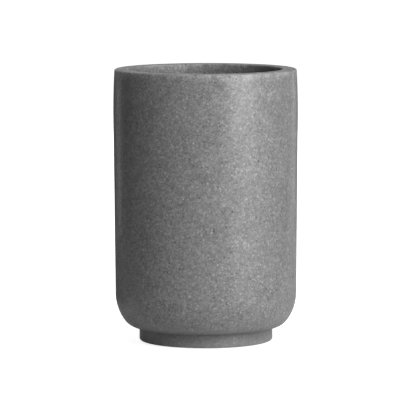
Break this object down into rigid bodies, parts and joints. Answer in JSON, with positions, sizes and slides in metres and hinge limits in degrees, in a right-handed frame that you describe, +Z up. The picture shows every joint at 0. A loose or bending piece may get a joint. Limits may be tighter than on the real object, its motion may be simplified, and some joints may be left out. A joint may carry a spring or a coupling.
{
  "type": "bathroom tumbler",
  "caption": "Round open tumbler in speckled cast stone: thick wall, flat soft-edged rim, straight side, rounded lower corner and a smaller foot with an anti-slip pad under it.",
  "frame": {"origin": "centre of the anti-slip pad's underside, on the plane that the tumbler stands on", "axes": "+Z up along the axis of revolution, towards the open mouth; X and Y are free, because the tumbler is round"},
  "size_m": [0.0742, 0.0742, 0.11],
  "materials": {
    "cast_stone": "fine matt speckle of light and dark mineral grains, cut smooth and sealed to a low sheen",
    "adhesive_film": "thin translucent double-sided film",
    "foam_rubber": "matt closed-cell foam rubber with fine pores"
  },
  "bodies": {
    "root": {"cup": "cast_stone", "pad_adhesive": "adhesive_film", "base_pad": "foam_rubber"}
  },
  "joints": []
}
